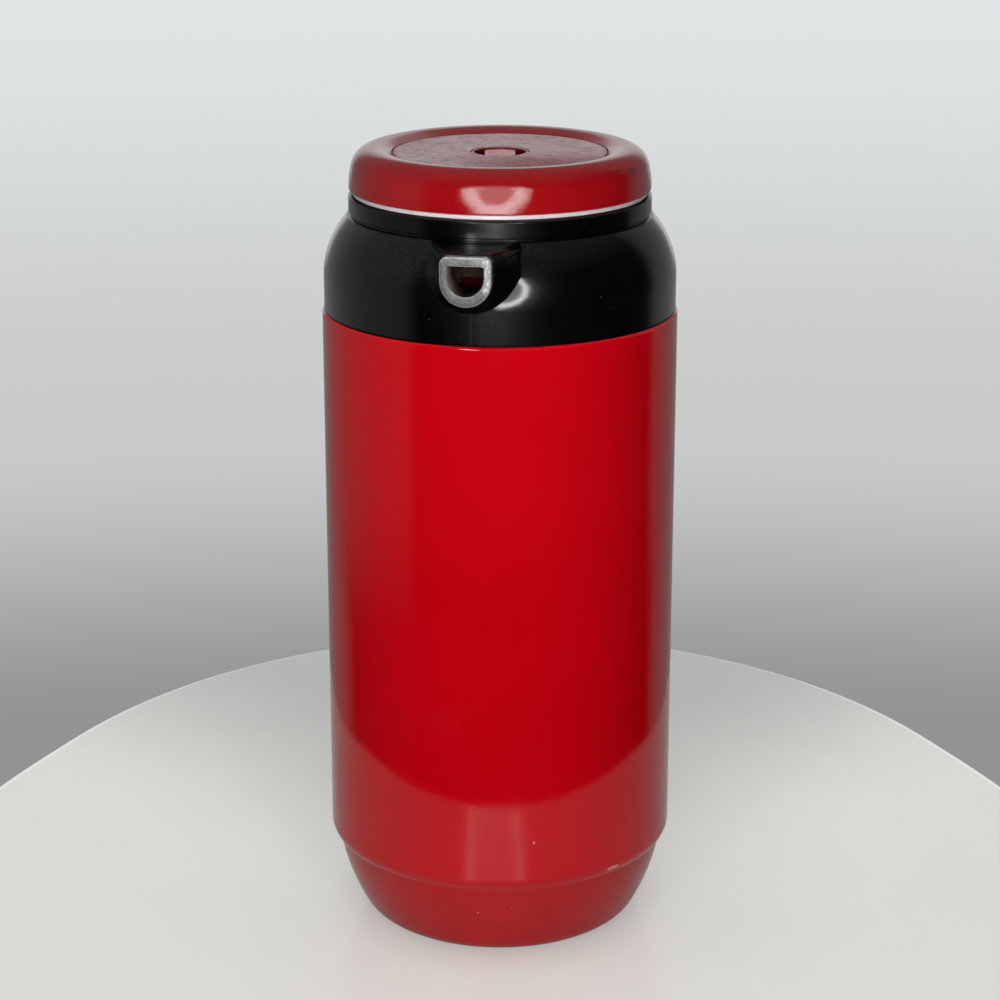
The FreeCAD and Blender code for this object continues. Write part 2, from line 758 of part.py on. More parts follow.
upright_tube("riser_sleeve", box(
    "pipe_radius", "sleeve_top - sleeve_length", "pipe_radius + sleeve_wall", "sleeve_top"))
upright_tube("riser_tube", box("pipe_bore", "riser_foot", "pipe_radius", "riser_top"))
strainer = upright_tube("riser_strainer", [
    ("0", "strainer_foot"),
    ("pipe_radius + strainer_wall", "strainer_foot"),
    ("pipe_radius + strainer_wall", "riser_foot + strainer_grip"),
    ("pipe_radius", "riser_foot + strainer_grip"),
    ("pipe_radius", "riser_foot"),
    ("pipe_bore + edge_round", "riser_foot"),
    ("pipe_bore + edge_round", "strainer_inside"),
    ("0", "strainer_inside"),
])
slot = draw(new_sketch(strainer, "XZ_Plane", lift="riser_offset + strainer_grip"),
            box("- slot_half", "strainer_inside", "slot_half", "riser_foot - edge_round"))
push(strainer, "Pocket", slot, "strainer_grip + strainer_grip")

# Pump unit: white carrier with the bellows cup
carrier = turned("carrier", [
    ("outlet_bore", "cup_foot"),
    ("cup_radius", "cup_foot"),
    ("cup_radius", "deck_foot"),
    ("carrier_bore", "deck_foot"),
    ("carrier_bore", "carrier_seat"),
    ("carrier_radius", "carrier_seat"),
    ("carrier_radius", "deck_top"),
    ("flange_radius", "deck_top"),
    ("flange_radius", "flange_top - edge_round"),
    ("flange_radius - edge_round", "flange_top", "edge_round", 1),
    ("flange_bore", "flange_top"),
    ("flange_bore", "deck_top"),
    ("cup_bore", "deck_top"),
    ("cup_bore", "cup_floor"),
    ("outlet_bore", "cup_floor"),
])
claw_slot = box(
    "claw_inner - slot_gap", "deck_foot - slot_gap", "claw_outer + slot_gap", "deck_top + slot_gap")
for heading in THIRDS:
    spin(carrier, "Groove", claw_slot, "claw_turn + claw_angle + slot_play", heading + SIZES["claw_turn"] / 2)
key = box("carrier_bore + clearance", "ledge_foot + clearance",
          "carrier_radius - clearance", "carrier_seat + edge_round")
spin(carrier, "Revolution", key, "key_angle", 270.0)
turned("lid_gasket", box(
    "throat_bore - seal_lap", "throat_top + clearance", "throat_radius + seal_lap", "cup_foot"))
turned("outlet_flap", box("0", "cup_foot - flap_wall", "outlet_bore + flap_lap", "cup_foot"))


# Bellows: rubber concertina, clamped to the cup floor and held under the push plate
def fold_height(count):
    return " + ".join(["bellows_foot"] + ["fold"] * count)


outside = [
    ("clamp_outer - clamp_gap", "cup_floor"),
    ("clamp_outer - clamp_gap", "bellows_foot"),
    ("bellows_waist", "bellows_foot"),
]
inside = [("bellows_inner", "cup_floor"), ("bellows_inner", "bellows_foot")]
for count in range(1, FOLDS):
    edge = "bellows_outer" if count % 2 else "bellows_waist"
    outside.append((edge, fold_height(count)))
    inside.append((edge + " - bellows_web", fold_height(count)))
top_lip = [
    ("bellows_waist", fold_height(FOLDS)),
    ("bellows_waist", "bellows_top"),
    ("hub_neck + clearance", "bellows_top"),
    ("hub_neck + clearance", fold_height(FOLDS)),
    ("bellows_inner", fold_height(FOLDS)),
]
bellows = turned("bellows", outside + top_lip + inside[::-1])
clamp = turned("bellows_clamp", box("clamp_inner", "bellows_foot", "clamp_outer", "clamp_top"))
spring = new_body("return_spring")
wire = circle(new_sketch(spring, "XZ_Plane"), "spring_circle", "cup_floor + spring_wire", "spring_wire")
coil = spring.newObject("PartDesign::AdditiveHelix", "coil")
coil.Profile = wire
coil.ReferenceAxis = (wire, ["V_Axis"])
coil.Mode = 0
coil.Pitch = amount("spring_pitch")
coil.Height = amount("spring_height")
bind(coil, "Pitch", "spring_pitch")
bind(coil, "Height", "spring_height")
spring.Tip = coil
doc.recompute()

# Lid ring: hollow red ring with the claw ring screwed inside it
ring = turned("lid_ring", [
    ("ring_radius - ring_wall", "ring_foot"),
    ("ring_radius - edge_round", "ring_foot"),
    ("ring_radius", "ring_foot + edge_round", "edge_round", 1),
    ("ring_radius - ring_lean", "ring_girth", "ring_bow", 1),
    ("crest_radius", "ring_crest", "ring_shoulder", 1),
    ("ring_bore", "plate_top", "ring_slope", 1),
    ("ring_bore", "deck_top + clearance"),
    ("ring_bore + ring_wall", "deck_top + clearance"),
    ("ring_bore + ring_wall", "plate_top - ring_wall"),
    ("crest_radius", "ring_hollow", "ring_slope - ring_wall", -1),
    ("ring_radius - ring_lean - ring_wall", "ring_girth", "ring_shoulder - ring_wall", -1),
])
for heading in BETWEEN:
    spin(ring, "Revolution", box("band_inner", "band_top", "band_outer", "ring_hollow - edge_round"),
         "boss_angle", heading)
claws = turned("claw_ring", box("band_inner", "band_foot", "band_outer", "band_top"))
for heading in THIRDS:
    spin(claws, "Revolution", box("claw_inner", "claw_foot", "claw_outer", "band_foot + edge_round"),
         "claw_angle", heading)
    spin(claws, "Revolution", box("claw_outer - edge_round", "claw_foot", "claw_reach", "claw_top"),
         "claw_angle", heading)

# Push plate, the cap that holds the bellows to it, and the dial
plate = turned("push_plate", [
    ("hub_bore", "hub_foot"),
    ("hub_neck", "hub_foot"),
    ("hub_neck", "hub_foot + hub_step"),
    ("hub_radius", "hub_foot + hub_step"),
    ("hub_radius", "plate_under"),
    ("skirt_bore", "plate_under"),
    ("skirt_bore", "skirt_foot"),
    ("plate_radius", "skirt_foot"),
    ("plate_radius", "plate_top - edge_round"),
    ("plate_radius - edge_round", "plate_top", "edge_round", 1),
    ("dial_hole", "plate_top"),
    ("dial_hole", "plate_under"),
    ("hub_bore", "plate_under"),
])
cap = turned("bellows_cap", box("cap_bore", "cap_foot", "cap_radius", "hub_foot"))
dial = turned("air_dial", [
    ("0", "stem_foot"),
    ("dial_stem", "stem_foot"),
    ("dial_stem", "hub_foot + clearance"),
    ("dial_shoulder_radius", "hub_foot + clearance"),
    ("dial_shoulder_radius", "plate_under - clearance"),
    ("dial_radius", "plate_under - clearance"),
    ("dial_radius", "dial_top - edge_round"),
    ("dial_radius - edge_round", "dial_top", "edge_round", 1),
    ("dial_well", "dial_top"),
    ("dial_well", "grip_top"),
    ("0", "grip_top"),
])


# Finger wells: the round of the dial cut off along each side of the grip bar
def finger_well(side):
    sketch = new_sketch(dial, "XY_Plane", lift="dial_top")
    sketch.AttachmentOffset = FreeCAD.Placement(
        sketch.AttachmentOffset.Base, FreeCAD.Rotation(FreeCAD.Vector(0, 0, 1), DIAL_HEADING))
    radius = amount("dial_well")
    spread = math.acos(amount("grip_half") / radius)
    middle = 0.0 if side > 0 else math.pi
    rim = Part.Circle(FreeCAD.Vector(0, 0, 0), FreeCAD.Vector(0, 0, 1), radius)
    arc = sketch.addGeometry(Part.ArcOfCircle(rim, middle - spread, middle + spread))
    far = radius * math.sin(spread) * side
    near = amount("grip_half") * side
    chord = sketch.addGeometry(Part.LineSegment(FreeCAD.Vector(near, far, 0), FreeCAD.Vector(near, -far, 0)))
    sketch.addConstraint(Sketcher.Constraint("Coincident", arc, 2, chord, 1))
    sketch.addConstraint(Sketcher.Constraint("Coincident", chord, 2, arc, 1))
    sketch.addConstraint(Sketcher.Constraint("Vertical", chord))
    sketch.addConstraint(Sketcher.Constraint("Coincident", arc, 3, -1, 1))
    dimension(sketch, "Radius", (arc,), "dial_well")
    ends = (-1, 1, chord, 1) if side > 0 else (chord, 1, -1, 1)
    dimension(sketch, "DistanceX", ends, "grip_half")
    push(dial, "Pocket", sketch, "dial_depth")


finger_well(1)
finger_well(-1)
turned("dial_clip", box("dial_stem", "clip_top - clip_wall", "clip_radius", "clip_top"))


# Screws: three alike on a circle, in matching holes
def screw_set(label, radius, outline, holders):
    body = new_body(label)
    body.AllowCompound = True
    for heading in BETWEEN:
        spin(body, "Revolution", outline, heading=heading, shift=radius)
        for holder in holders:
            spin(holder, "Groove", outline, heading=heading, shift=radius)


screw_set("claw_screws", "band_middle", [
    ("0", "band_foot"),
    ("screw_head", "band_foot"),
    ("screw_shank", "band_foot + screw_cap"),
    ("screw_shank", "band_top + screw_grip"),
    ("0", "band_top + screw_grip"),
], [claws, ring])
screw_set("cap_screws", "hub_middle", [
    ("0", "cap_foot - screw_cap"),
    ("screw_head", "cap_foot - screw_cap"),
    ("screw_head", "cap_foot"),
    ("screw_shank", "cap_foot"),
    ("screw_shank", "hub_foot + screw_grip"),
    ("0", "hub_foot + screw_grip"),
], [cap, plate])
screw_set("clamp_screws", "clamp_circle", [
    ("0", "cup_foot + edge_round"),
    ("pin_shank", "cup_foot + edge_round"),
    ("pin_shank", "clamp_top"),
    ("pin_head", "clamp_top"),
    ("pin_head", "clamp_top + pin_cap"),
    ("0", "clamp_top + pin_cap"),
], [carrier, clamp, bellows])

# Checks, then one STEP file for each node
doc.recompute()
os.makedirs("parts", exist_ok=True)
for node in NODES:
    shape = node.Shape
    for item in node.Group:
        if "Invalid" in item.State or "Error" in item.State:
            raise RuntimeError(node.Label + ": " + item.Name + " did not build")
    if shape.isNull() or not shape.isValid() or not shape.Solids:
        raise RuntimeError(node.Label + " has no valid solid")
    shape.exportStep("parts/" + node.Label + ".step")
    bounds = shape.optimalBoundingBox()
    print("%-16s %d solid  %9.1f mm3  z %.2f to %.2f  y %.2f to %.2f" % (
        node.Label, len(shape.Solids), shape.Volume, bounds.ZMin, bounds.ZMax, bounds.YMin, bounds.YMax))
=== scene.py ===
import json
import math

import bpy
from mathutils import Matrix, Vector


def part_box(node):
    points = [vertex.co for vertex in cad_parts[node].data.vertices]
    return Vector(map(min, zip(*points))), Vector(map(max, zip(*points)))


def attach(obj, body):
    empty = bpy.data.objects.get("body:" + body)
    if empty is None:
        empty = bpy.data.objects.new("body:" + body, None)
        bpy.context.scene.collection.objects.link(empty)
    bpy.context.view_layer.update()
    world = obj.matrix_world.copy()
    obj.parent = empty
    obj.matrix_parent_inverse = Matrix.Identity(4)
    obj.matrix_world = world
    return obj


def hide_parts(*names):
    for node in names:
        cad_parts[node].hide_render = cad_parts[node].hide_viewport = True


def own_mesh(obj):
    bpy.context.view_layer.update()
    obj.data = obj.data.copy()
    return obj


# Pump pot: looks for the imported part. Lengths are metres unless a name ends in mm.
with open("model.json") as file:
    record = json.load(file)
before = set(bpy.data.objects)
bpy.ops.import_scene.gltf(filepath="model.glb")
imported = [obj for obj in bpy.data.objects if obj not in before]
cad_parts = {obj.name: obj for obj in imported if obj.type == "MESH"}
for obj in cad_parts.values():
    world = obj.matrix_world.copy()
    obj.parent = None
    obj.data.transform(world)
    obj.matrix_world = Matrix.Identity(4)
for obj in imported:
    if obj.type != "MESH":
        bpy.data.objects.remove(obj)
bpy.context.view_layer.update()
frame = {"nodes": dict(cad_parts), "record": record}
nodes = frame["nodes"]
scene = bpy.context.scene
MM = 0.001

# Levels and radii of the part at rest that the finishes refer to
BODY_TOP = 0.2330
COLLAR_RADIUS = 0.0633
BEAK_FOOT = 0.2485
SPOUT_MIDDLE = 0.2575
RIM_FOOT = 0.2674
DECK_TOP = 0.2746

# Sockets of the Mix node when it mixes colours
MIX_SHARE, MIX_LOW, MIX_HIGH, MIX_RESULT = 0, 6, 7, 2


# Shader helpers
def feed(tree, socket, value):
    """Links a socket to another one, or sets its constant."""
    if isinstance(value, bpy.types.NodeSocket):
        tree.links.new(value, socket)
    else:
        socket.default_value = value


def put(tree, kind, settings=None, **sockets):
    """A new node with its settings, and its sockets fed by name."""
    made = tree.nodes.new("ShaderNode" + kind)
    for name, value in (settings or {}).items():
        setattr(made, name, value)
    for name, value in sockets.items():
        feed(tree, made.inputs[name.replace("_", " ")], value)
    return made


def put_row(tree, kind, settings, values):
    """A new node whose first sockets are fed in order."""
    made = put(tree, kind, settings)
    for socket, value in zip(made.inputs, values):
        feed(tree, socket, value)
    return made


def calc(tree, operation, first, second=0.0):
    return put_row(tree, "Math", {"operation": operation}, (first, second)).outputs[0]


def vector_calc(tree, operation, first, second=(0.0, 0.0, 0.0)):
    return put_row(tree, "VectorMath", {"operation": operation}, (first, second)).outputs


def times(tree, first, *others):
    """The product of masks or numbers."""
    for other in others:
        first = calc(tree, "MULTIPLY", first, other)
    return first


def most(tree, first, *others):
    """The greatest of several masks."""
    for other in others:
        first = calc(tree, "MAXIMUM", first, other)
    return first


def spread(tree, value, low, high, to_low=0.0, to_high=1.0):
    """An eased step: to_low where the value is at low, to_high where it is at high."""
    row = (value, low, high, to_low, to_high)
    return put_row(tree, "MapRange", {"interpolation_type": "SMOOTHSTEP"}, row).outputs[0]


def mix_colour(tree, share, low, high):
    made = put(tree, "Mix", {"data_type": "RGBA"})
    for index, value in ((MIX_SHARE, share), (MIX_LOW, low), (MIX_HIGH, high)):
        feed(tree, made.inputs[index], value)
    return made.outputs[MIX_RESULT]


def tone(red, green, blue):
    """An sRGB colour, 0 to 255, as the linear colour that a socket takes."""
    levels = [v / 255 for v in (red, green, blue)]
    return tuple(v / 12.92 if v <= 0.04045 else ((v + 0.055) / 1.055) ** 2.4 for v in levels) + (1.0,)


def place_of(tree):
    return put(tree, "TexCoord").outputs["Object"]


def place_xyz(tree):
    """X, Y and Z at rest."""
    return put(tree, "SeparateXYZ", Vector=place_of(tree)).outputs


def from_axis(tree):
    """The distance from the pot's axis at rest."""
    spot = place_xyz(tree)
    squares = [times(tree, spot[axis], spot[axis]) for axis in ("X", "Y")]
    return calc(tree, "SQRT", calc(tree, "ADD", *squares))


def facing_xyz(tree):
    """X, Y and Z of the way that the surface faces."""
    return put(tree, "SeparateXYZ", Vector=put(tree, "NewGeometry").outputs["Normal"]).outputs


def noise(tree, scale, detail, **sockets):
    return put(tree, "TexNoise", Vector=place_of(tree), Scale=scale, Detail=detail, **sockets).outputs["Fac"]


def new_group(name, inputs, output):
    tree = bpy.data.node_groups.new(name, "ShaderNodeTree")
    for label, kind, value in inputs:
        socket = tree.interface.new_socket(label, in_out="INPUT", socket_type="NodeSocket" + kind)
        socket.default_value = value
    tree.interface.new_socket(output, in_out="OUTPUT", socket_type="NodeSocketFloat")
    return tree, tree.nodes.new("NodeGroupInput").outputs, tree.nodes.new("NodeGroupOutput").inputs


def shared(tree, group, **values):
    """The mask that a shared group makes with these values."""
    made = tree.nodes.new("ShaderNodeGroup")
    made.node_tree = group
    for name, value in values.items():
        feed(tree, made.inputs[name], value)
    return made.outputs[0]


# Wear that several finishes share; on the dial the pale edge wear also serves as painted highlight
def make_soft_patches():
    tree, given, result = new_group("soft_patches", [
        ("Scale", "Float", 40.0), ("Low", "Float", 0.4), ("High", "Float", 0.6)], "Patches")
    cloud = noise(tree, given["Scale"], 5.0, Roughness=0.6)
    feed(tree, result["Patches"], spread(tree, cloud, given["Low"], given["High"]))
    return tree


def make_dust_specks():
    tree, given, result = new_group("dust_specks", [
        ("Scale", "Float", 900.0), ("Cover", "Float", 0.1), ("Size", "Float", 0.3)], "Specks")
    grains = put(tree, "TexVoronoi", Vector=place_of(tree), Scale=given["Scale"], Randomness=1.0).outputs
    pick = put(tree, "SeparateColor", Color=grains["Color"]).outputs
    kept = calc(tree, "LESS_THAN", pick["Red"], given["Cover"])
    reach = times(tree, given["Size"], pick["Green"])
    speck = spread(tree, grains["Distance"], reach, times(tree, reach, 0.5))
    feed(tree, result["Specks"], times(tree, kept, speck))
    return tree


STREAK_TURNS = ((0.2, 0.3, 0.5), (0.9, -0.4, 1.4), (-0.5, 1.1, -0.7), (1.3, 0.6, 2.3))


def make_hair_scratches():
    tree, given, result = new_group("hair_scratches", [
        ("Length", "Float", 130.0), ("Width", "Float", 4500.0), ("Cover", "Float", 0.4)], "Scratches")
    place = place_of(tree)
    stretch = put(tree, "CombineXYZ", X=given["Length"], Y=given["Width"], Z=given["Width"]).outputs[0]
    streaks = []
    for turn in STREAK_TURNS:
        warp = put(tree, "Mapping", Vector=place, Rotation=turn, Scale=stretch)
        grain = put(tree, "TexNoise", Vector=warp.outputs[0], Scale=1.0, Detail=0.0)
        streaks.append(spread(tree, grain.outputs["Fac"], 0.70, 0.80))
    limit = calc(tree, "SUBTRACT", 0.75, times(tree, given["Cover"], 0.5))
    patch = spread(tree, noise(tree, 42.0, 3.0), limit, calc(tree, "ADD", limit, 0.12))
    feed(tree, result["Scratches"], times(tree, most(tree, *streaks), patch))
    return tree


def make_edge_rub_and_sheen():
    tree, given, result = new_group("edge_rub_and_sheen", [
        ("Width", "Float", 0.0008), ("Gain", "Float", 4.0)], "Rub")
    rounded = put(tree, "Bevel", {"samples": 4}, Radius=given["Width"]).outputs["Normal"]
    plain = put(tree, "NewGeometry").outputs["Normal"]
    facing = vector_calc(tree, "DOT_PRODUCT", rounded, plain)["Value"]
    bend = times(tree, calc(tree, "SUBTRACT", 1.0, facing), given["Gain"])
    chips = spread(tree, noise(tree, 600.0, 3.0), 0.35, 0.65)
    feed(tree, result["Rub"], times(tree, spread(tree, bend, 0.15, 0.9), chips))
    return tree


def make_marked_spot():
    tree, given, result = new_group("marked_spot", [
        ("Centre", "Vector", (0.0, 0.0, 0.0)), ("Stretch", "Vector", (1.0, 1.0, 1.0)),
        ("Reach", "Float", 0.003), ("Grain", "Float", 900.0)], "Spot")
    away = vector_calc(tree, "SUBTRACT", place_of(tree), given["Centre"])["Vector"]
    scaled = vector_calc(tree, "MULTIPLY", away, given["Stretch"])["Vector"]
    wander = times(tree, noise(tree, given["Grain"], 3.0), given["Reach"])
    far = calc(tree, "ADD", vector_calc(tree, "LENGTH", scaled)["Value"], wander)
    feed(tree, result["Spot"], spread(tree, far, times(tree, given["Reach"], 1.5), given["Reach"]))
    return tree


soft_patches = make_soft_patches()
dust_specks = make_dust_specks()
hair_scratches = make_hair_scratches()
edge_rub_and_sheen = make_edge_rub_and_sheen()
marked_spot = make_marked_spot()


def new_finish(name, **sockets):
    material = bpy.data.materials.new(name)
    material.use_nodes = True
    tree = material.node_tree
    shader = tree.nodes["Principled BSDF"]
    for label, value in sockets.items():
        feed(tree, shader.inputs[label.replace("_", " ")], value)
    return material, tree, shader


def set_colour(tree, shader, colour, layers=()):
    """The colour, with layers laid on it in order: each a mask, a strength up to 1 and a tone of 0 to 255."""
    for mask, strength, over in layers:
        colour = mix_colour(tree, times(tree, mask, strength), colour, tone(*over))
    feed(tree, shader.inputs["Base Color"], colour)


def set_roughness(tree, shader, mask, smooth, rough, low=0.0, high=1.0):
    """Roughness from smooth, where the mask is at low, to rough, where it is at high."""
    feed(tree, shader.inputs["Roughness"], spread(tree, mask, low, high, smooth, rough))


def raise_surface(tree, shader, height, strength, distance, softened=None):
    bump = put(tree, "Bump", Strength=strength, Distance=distance, Height=height)
    if softened is not None:
        feed(tree, bump.inputs["Normal"], softened)
    feed(tree, shader.inputs["Normal"], bump.outputs["Normal"])


# Finishes
def red_enamel():
    material, tree, shader = new_finish("red_enamel_gloss", IOR=1.42)
    patches = shared(tree, soft_patches, Scale=18.0, Low=0.3, High=0.7)
    scratches = shared(tree, hair_scratches, Cover=0.3)
    specks = shared(tree, dust_specks, Scale=1300.0, Cover=0.01, Size=0.28)
    rub_and_sheen = shared(tree, edge_rub_and_sheen, Width=0.0007, Gain=3.0)
    # Painted shadow: a dark band round the top of the body, just under the collar, where the gap between the
    # parts is in shade
    ledge_shadow = times(tree, spread(tree, place_xyz(tree)["Z"], BODY_TOP - 0.0008, BODY_TOP - 0.0002),
                  spread(tree, from_axis(tree), COLLAR_RADIUS + 0.0001, COLLAR_RADIUS - 0.0004))
    chip = shared(tree, marked_spot, Centre=(0.0484, -0.0414, 0.0336), Stretch=(0.3, 0.3, 1.5),
                  Reach=0.0011, Grain=1200.0)
    speck = shared(tree, marked_spot, Centre=(0.0219, -0.0601, 0.0499), Reach=0.0005, Grain=900.0)
    paint = mix_colour(tree, patches, tone(205, 2, 18), tone(210, 4, 21))
    set_colour(tree, shader, paint, (
        (scratches, 0.06, (235, 130, 130)),
        (specks, 0.35, (226, 170, 168)),
        (rub_and_sheen, 0.15, (214, 120, 118)),
        (ledge_shadow, 0.85, (52, 2, 6)),
        (most(tree, chip, speck), 0.9, (236, 180, 172)),
    ))
    dull = most(tree, times(tree, scratches, 0.25), specks)
    set_roughness(tree, shader, dull, smooth=0.07, rough=0.35)
    raise_surface(tree, shader, noise(tree, 300.0, 2.0), strength=0.015, distance=0.001)
    return material


def base_red():
    material, tree, shader = new_finish("base_red_satin", IOR=1.45)
    patches = shared(tree, soft_patches, Scale=60.0, Low=0.35, High=0.7)
    specks = shared(tree, dust_specks, Scale=900.0, Cover=0.006, Size=0.35)
    scratches = shared(tree, hair_scratches, Cover=0.45)
    rub_and_sheen = shared(tree, edge_rub_and_sheen, Width=0.0008, Gain=3.0)
    speck = shared(tree, marked_spot, Centre=(0.0012, -0.0585, 0.0203), Reach=0.0006, Grain=900.0)
    plastic = mix_colour(tree, patches, tone(197, 7, 17), tone(203, 11, 21))
    set_colour(tree, shader, plastic, (
        (specks, 0.4, (214, 168, 164)),
        (scratches, 0.1, (205, 130, 126)),
        (rub_and_sheen, 0.12, (205, 110, 106)),
        (speck, 0.7, (226, 190, 188)),
    ))
    set_roughness(tree, shader, patches, smooth=0.15, rough=0.22)
    raise_surface(tree, shader, noise(tree, 700.0, 3.0), strength=0.015, distance=0.001)
    return material


# Scuffs on the ring's right shoulder: centre, stretch and reach
RING_SCUFFS = (((0.0456, -0.0246, 0.2876), (0.22, 0.22, 1.4), 0.0006),
               ((0.0489, -0.0190, 0.2866), (0.6, 0.45, 1.3), 0.0015),
               ((0.0495, -0.0176, 0.2860), (0.8, 0.8, 0.5), 0.0012))


def ring_red():
    material, tree, shader = new_finish("ring_red_worn", IOR=1.5)
    _, along, height = place_xyz(tree)
    patches = shared(tree, soft_patches, Scale=70.0, Low=0.3, High=0.7)
    # Painted shade: the ring is made darker towards its top, where less light falls
    crest_shade = spread(tree, height, 0.2825, 0.2895)
    slope = spread(tree, from_axis(tree), 0.0465, 0.0425)
    # Painted highlight: the inner slope is made pale pink at the front and sides; at the back it is darker
    # red
    slope_highlight = times(tree, slope, spread(tree, along, 0.036, 0.018))
    back_slope = times(tree, slope, spread(tree, along, 0.018, 0.036))
    scratches = shared(tree, hair_scratches, Cover=0.7)
    specks = shared(tree, dust_specks, Scale=1400.0, Cover=0.02, Size=0.3)
    scuffs = [shared(tree, marked_spot, Centre=centre, Stretch=stretch, Reach=reach, Grain=1700.0)
              for centre, stretch, reach in RING_SCUFFS]
    plastic = mix_colour(tree, patches, tone(160, 7, 15), tone(167, 12, 20))
    set_colour(tree, shader, plastic, (
        (crest_shade, 0.7, (128, 8, 14)),
        (slope_highlight, 0.55, (168, 128, 130)),
        (back_slope, 0.6, (136, 40, 44)),
        (scratches, 0.05, (206, 130, 130)),
        (specks, 0.35, (200, 160, 160)),
        (most(tree, *scuffs), 0.9, (104, 4, 8)),
    ))
    grain = noise(tree, 1100.0, 4.0, Roughness=0.7)
    set_roughness(tree, shader, grain, smooth=0.05, rough=0.13, low=0.3, high=0.7)
    raise_surface(tree, shader, grain, strength=0.075, distance=0.0008)
    return material


def plate_dusty():
    material, tree, shader = new_finish("plate_matt_dusty", IOR=1.45, Specular_IOR_Level=0.25)
    across, along, _ = place_xyz(tree)
    span = from_axis(tree)
    patches = shared(tree, soft_patches, Scale=60.0, Low=0.3, High=0.72)
    bloom = shared(tree, soft_patches, Scale=420.0, Low=0.42, High=0.62)
    smear = shared(tree, soft_patches, Scale=210.0, Low=0.52, High=0.64)
    thin_dust = times(tree, spread(tree, along, 0.006, -0.022), spread(tree, across, -0.026, 0.016))
    grit = shared(tree, dust_specks, Scale=800.0, Cover=0.35, Size=0.6)
    scratches = shared(tree, hair_scratches, Cover=0.8)
    line = shared(tree, marked_spot, Centre=(-0.0110, -0.0029, 0.289), Stretch=(0.13, 1.0, 1.0),
                  Reach=0.0003, Grain=900.0)
    outer_edge = spread(tree, span, 0.0374, 0.0381)
    # Painted highlight: a pale ring round the hole that the dial sits in
    dial_hole_highlight = spread(tree, span, 0.0113, 0.0106)
    dust = mix_colour(tree, patches, tone(184, 150, 153), tone(202, 178, 180))
    set_colour(tree, shader, dust, (
        (bloom, 0.6, (222, 206, 207)),
        (smear, 0.5, (142, 102, 105)),
        (thin_dust, 0.9, (148, 92, 94)),
        (grit, 0.7, (118, 62, 66)),
        (scratches, 0.6, (116, 66, 70)),
        (line, 0.8, (92, 44, 48)),
        (outer_edge, 0.7, (118, 34, 38)),
        (dial_hole_highlight, 0.6, (190, 120, 124)),
    ))
    set_roughness(tree, shader, bloom, smooth=0.5, rough=0.8)
    raise_surface(tree, shader, bloom, strength=0.2, distance=0.0004)
    return material


def dial_dusty():
    material, tree, shader = new_finish("dial_satin_dusty", IOR=1.48)
    _, along, height = place_xyz(tree)
    faces_up = spread(tree, facing_xyz(tree)["Z"], 0.6, 0.85)
    top_faces = times(tree, faces_up, calc(tree, "GREATER_THAN", height, 0.2870))
    dust = shared(tree, soft_patches, Scale=700.0, Low=0.35, High=0.65)
    bar = mix_colour(tree, dust, tone(196, 118, 124), tone(232, 184, 188))
    rim = mix_colour(tree, dust, tone(172, 138, 140), tone(198, 174, 176))
    drift = calc(tree, "ADD", along, times(tree, dust, 0.002))
    bar = mix_colour(tree, spread(tree, drift, 0.0030, -0.0035), bar, rim)
    top = mix_colour(tree, spread(tree, height, 0.2883, 0.2886), bar, rim)
    well = mix_colour(tree, spread(tree, height, 0.2862, 0.2848), tone(104, 10, 18), tone(176, 132, 134))
    grit = shared(tree, dust_specks, Scale=1500.0, Cover=0.25, Size=0.5)
    # Pale edges: partly wear, partly a painted highlight along the bar's and rim's edges
    rub_and_sheen = shared(tree, edge_rub_and_sheen, Width=0.0004, Gain=3.0)
    set_colour(tree, shader, mix_colour(tree, top_faces, well, top), (
        (grit, 0.4, (118, 50, 56)),
        (rub_and_sheen, 0.6, (232, 180, 184)),
    ))
    set_roughness(tree, shader, top_faces, smooth=0.2, rough=0.5)
    raise_surface(tree, shader, dust, strength=0.1, distance=0.0003)
    return material


def collar_black():
    material, tree, shader = new_finish("collar_black_gloss", IOR=1.5, Specular_IOR_Level=0.1,
                                        Coat_Roughness=0.12)
    across, along, height = place_xyz(tree)
    patches = shared(tree, soft_patches, Scale=30.0, Low=0.35, High=0.7)
    scratches = shared(tree, hair_scratches, Cover=0.35)
    specks = shared(tree, dust_specks, Scale=1300.0, Cover=0.02, Size=0.3)
    worn = shared(tree, marked_spot, Centre=(-0.0240, -0.0535, 0.2615), Stretch=(0.35, 0.35, 0.6),
                  Reach=0.006, Grain=260.0)
    grazes = shared(tree, hair_scratches, Length=260.0, Width=3400.0, Cover=0.9)
    seam = times(tree, spread(tree, calc(tree, "ABSOLUTE", across), 0.00022, 0.00008),
                 spread(tree, height, BEAK_FOOT - 0.0010, BEAK_FOOT - 0.0015),
                 calc(tree, "LESS_THAN", along, 0.0))
    plastic = mix_colour(tree, patches, tone(2, 2, 2), tone(6, 6, 6))
    set_colour(tree, shader, plastic, (
        (scratches, 0.08, (130, 132, 134)),
        (specks, 0.3, (150, 150, 148)),
        (times(tree, worn, grazes), 0.07, (130, 132, 134)),
        (seam, 0.15, (92, 94, 96)),
    ))
    dull = most(tree, times(tree, scratches, 0.4), specks)
    dull = calc(tree, "ADD", dull, times(tree, patches, 0.25))
    set_roughness(tree, shader, dull, smooth=0.28, rough=0.5)
    beak_coat = spread(tree, along, -COLLAR_RADIUS - 0.0022, -COLLAR_RADIUS - 0.0005, 0.25, 0.85)
    rim_share = spread(tree, height, RIM_FOOT - 0.0009, RIM_FOOT - 0.0002, 1.0, 0.6)
    foot_share = spread(tree, height, BODY_TOP + 0.0004, BODY_TOP + 0.0010)
    feed(tree, shader.inputs["Coat Weight"], times(tree, beak_coat, rim_share, foot_share))
    soften = put(tree, "Bevel", {"samples": 4}, Radius=0.0009).outputs["Normal"]
    raise_surface(tree, shader, noise(tree, 1500.0, 3.0), 0.06, 0.0006, soften)
    return material


